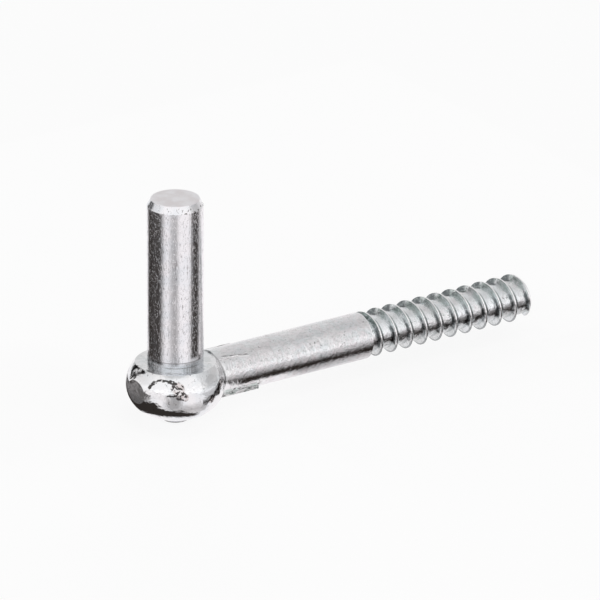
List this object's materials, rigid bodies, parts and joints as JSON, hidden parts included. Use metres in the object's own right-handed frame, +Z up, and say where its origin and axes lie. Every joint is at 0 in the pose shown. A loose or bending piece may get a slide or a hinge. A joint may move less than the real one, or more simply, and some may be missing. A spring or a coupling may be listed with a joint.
{
  "type": "screw-in gate hinge pin",
  "caption": "Upright round pin riveted into the flattened ball head of a horizontal screw shank with a coarse timber thread.",
  "frame": {"origin": "foot of the upright pin on its axis, at the level of the seat that the gate's eye rests on", "axes": "+Z up the pin, +Y along the shank to the blunt end of its thread, into the post"},
  "size_m": [0.0281, 0.1324, 0.0666],
  "materials": {
    "screw_zinc": "forged and rolled steel, bright blue-white zinc plate, tumbled smooth and glossy on the head",
    "pin_zinc": "drawn steel bar, bright blue-white zinc plate, fine dark pitting along its sides"
  },
  "bodies": {
    "root": {"threaded_shank": "screw_zinc", "hinge_pin": "pin_zinc"}
  },
  "joints": []
}
